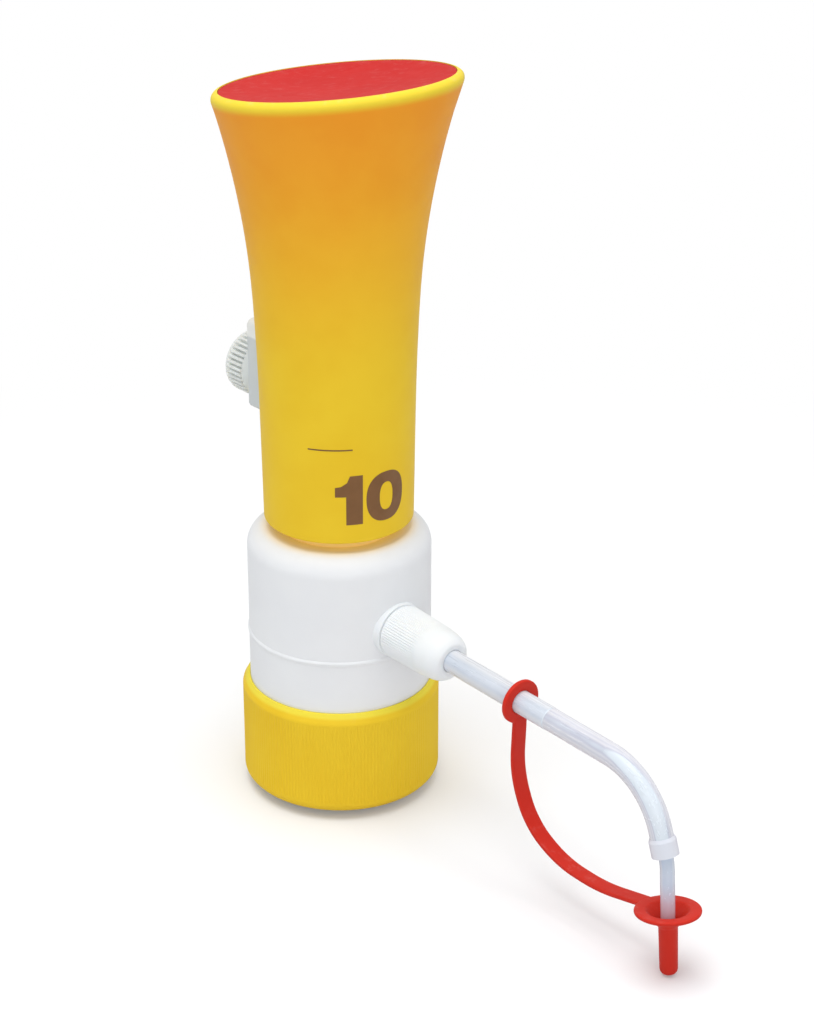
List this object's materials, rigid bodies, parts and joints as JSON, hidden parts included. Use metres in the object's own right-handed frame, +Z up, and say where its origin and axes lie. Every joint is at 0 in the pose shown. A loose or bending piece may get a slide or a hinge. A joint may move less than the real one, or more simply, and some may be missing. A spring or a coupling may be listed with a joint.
{
  "type": "bottle top dispenser",
  "caption": "Hand-lifted piston dispenser that screws on a reagent bottle, with a flared handle sleeve, an adjustable volume stop and a bent discharge jet with a tethered cap.",
  "frame": {"origin": "centre of the bottle ring's open lower end, where the bottle's neck enters", "axes": "+Z up along the barrel's axis, +X along the discharge jet"},
  "size_m": [0.1666, 0.0604, 0.1943],
  "materials": {
    "yellow_plastic": "moulded satin-gloss polypropylene",
    "white_plastic": "moulded satin polypropylene",
    "red_plastic": "moulded satin plastic",
    "red_soft_plastic": "soft moulded polyethylene",
    "grey_plastic": "moulded plastic",
    "fluoropolymer": "turned white fluoropolymer",
    "seal_rubber": "matte elastomer",
    "glass": "clear borosilicate glass",
    "ceramic": "polished ceramic",
    "sprung_metal": "drawn wire",
    "rod_metal": "turned stainless steel",
    "clear_tube": "translucent fluoropolymer tube"
  },
  "bodies": {
    "ring": {"bottle_ring": "yellow_plastic"},
    "head": {"lower_housing": "white_plastic", "upper_housing": "white_plastic", "valve_block": "fluoropolymer", "retaining_flange": "fluoropolymer", "neck_gasket": "seal_rubber", "suction_valve_seat": "fluoropolymer", "glass_cylinder": "glass", "cylinder_seal": "fluoropolymer", "glass_cushion": "fluoropolymer", "barrel_guard": "grey_plastic", "discharge_valve_seat": "fluoropolymer", "discharge_spring": "sprung_metal", "jet_tube": "clear_tube", "jet_jacket": "clear_tube", "delivery_tube": "clear_tube", "jet_end_collar": "clear_tube", "cap_tether": "red_soft_plastic"},
    "suction_ball": {"suction_ball": "ceramic"},
    "discharge_ball": {"discharge_ball": "ceramic"},
    "union_nut": {"union_nut": "white_plastic"},
    "closure_cap": {"closure_cap": "red_soft_plastic"},
    "handle": {"handle_sleeve": "yellow_plastic", "handle_lid": "red_plastic", "piston_rod": "rod_metal", "piston_head": "fluoropolymer", "piston_seals": "seal_rubber", "rod_nut": "grey_plastic"},
    "volume_slider": {"slider_saddle": "white_plastic", "stop_lug": "white_plastic", "clamp_stud": "rod_metal"},
    "volume_knob": {"volume_knob": "white_plastic"}
  },
  "joints": [
    {"name": "head_turn", "type": "hinge", "parent": "ring", "child": "head", "pos_m": [0, 0, 0.021], "axis": [0, 0, 1], "continuous": true},
    {"name": "suction_ball_lift", "type": "slide", "parent": "head", "child": "suction_ball", "axis": [0, 0, 1], "range_m": [0, 0.0012]},
    {"name": "discharge_ball_lift", "type": "slide", "parent": "head", "child": "discharge_ball", "axis": [0.9996, 0, -0.0297], "range_m": [0, 0.001], "stiffness_N_per_m": 60, "springref_m": -0.001, "deforming": ["discharge_spring"]},
    {"name": "nut_turn", "type": "hinge", "parent": "head", "child": "union_nut", "pos_m": [0.02999, 0, 0.05001], "axis": [0.9996, 0, -0.0297], "range_deg": [0, 360]},
    {"name": "cap_pull", "type": "slide", "parent": "head", "child": "closure_cap", "axis": [0.0785, 0, -0.9969], "range_m": [0, 0.0145], "deforming": ["cap_tether"]},
    {"name": "handle_lift", "type": "slide", "parent": "head", "child": "handle", "axis": [0, 0, 1], "range_m": [0, 0.03979]},
    {"name": "volume_set", "type": "slide", "parent": "handle", "child": "volume_slider", "axis": [0, 0, 1], "range_m": [-0.00995, 0]},
    {"name": "knob_turn", "type": "hinge", "parent": "volume_slider", "child": "volume_knob", "pos_m": [-0.03, 0, 0.1062], "axis": [-1, 0, 0], "range_deg": [0, 360]}
  ]
}
